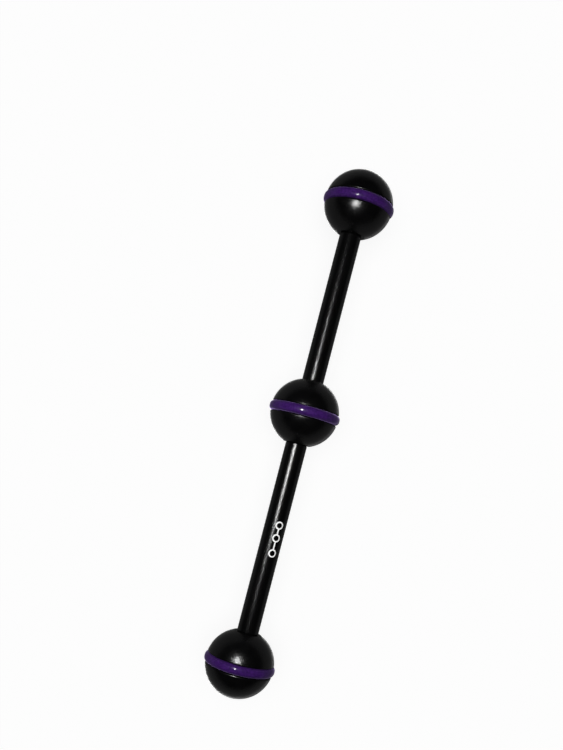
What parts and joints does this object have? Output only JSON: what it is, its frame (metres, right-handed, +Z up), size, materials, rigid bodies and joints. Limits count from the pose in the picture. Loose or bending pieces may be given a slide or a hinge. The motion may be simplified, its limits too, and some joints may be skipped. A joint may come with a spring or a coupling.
{
  "type": "triple ball arm",
  "caption": "Straight rigid arm: round clamp balls at both ends and part-way along, joined by slim round rods, each ball with an O-ring in a groove round its middle.",
  "frame": {"origin": "centre of the base ball, the end ball on the longer rod", "axes": "+X along the arm from the base ball through the middle ball to the end ball; +Z up with the arm held level. The arm is round, so any side can be up."},
  "size_m": [0.2, 0.0264, 0.0264],
  "materials": {
    "ball": "bead-blasted, then anodised satin black",
    "rod": "drawn bar, anodised semi-gloss black",
    "o_ring": "purple moulded elastomer with a soft shine",
    "stud": "plain stainless steel"
  },
  "bodies": {
    "root": {"base_ball": "ball", "middle_ball": "ball", "end_ball": "ball", "base_o_ring": "o_ring", "middle_o_ring": "o_ring", "end_o_ring": "o_ring", "long_rod": "rod", "short_rod": "rod", "base_stud": "stud", "middle_long_side_stud": "stud", "middle_short_side_stud": "stud", "end_stud": "stud"}
  },
  "joints": []
}
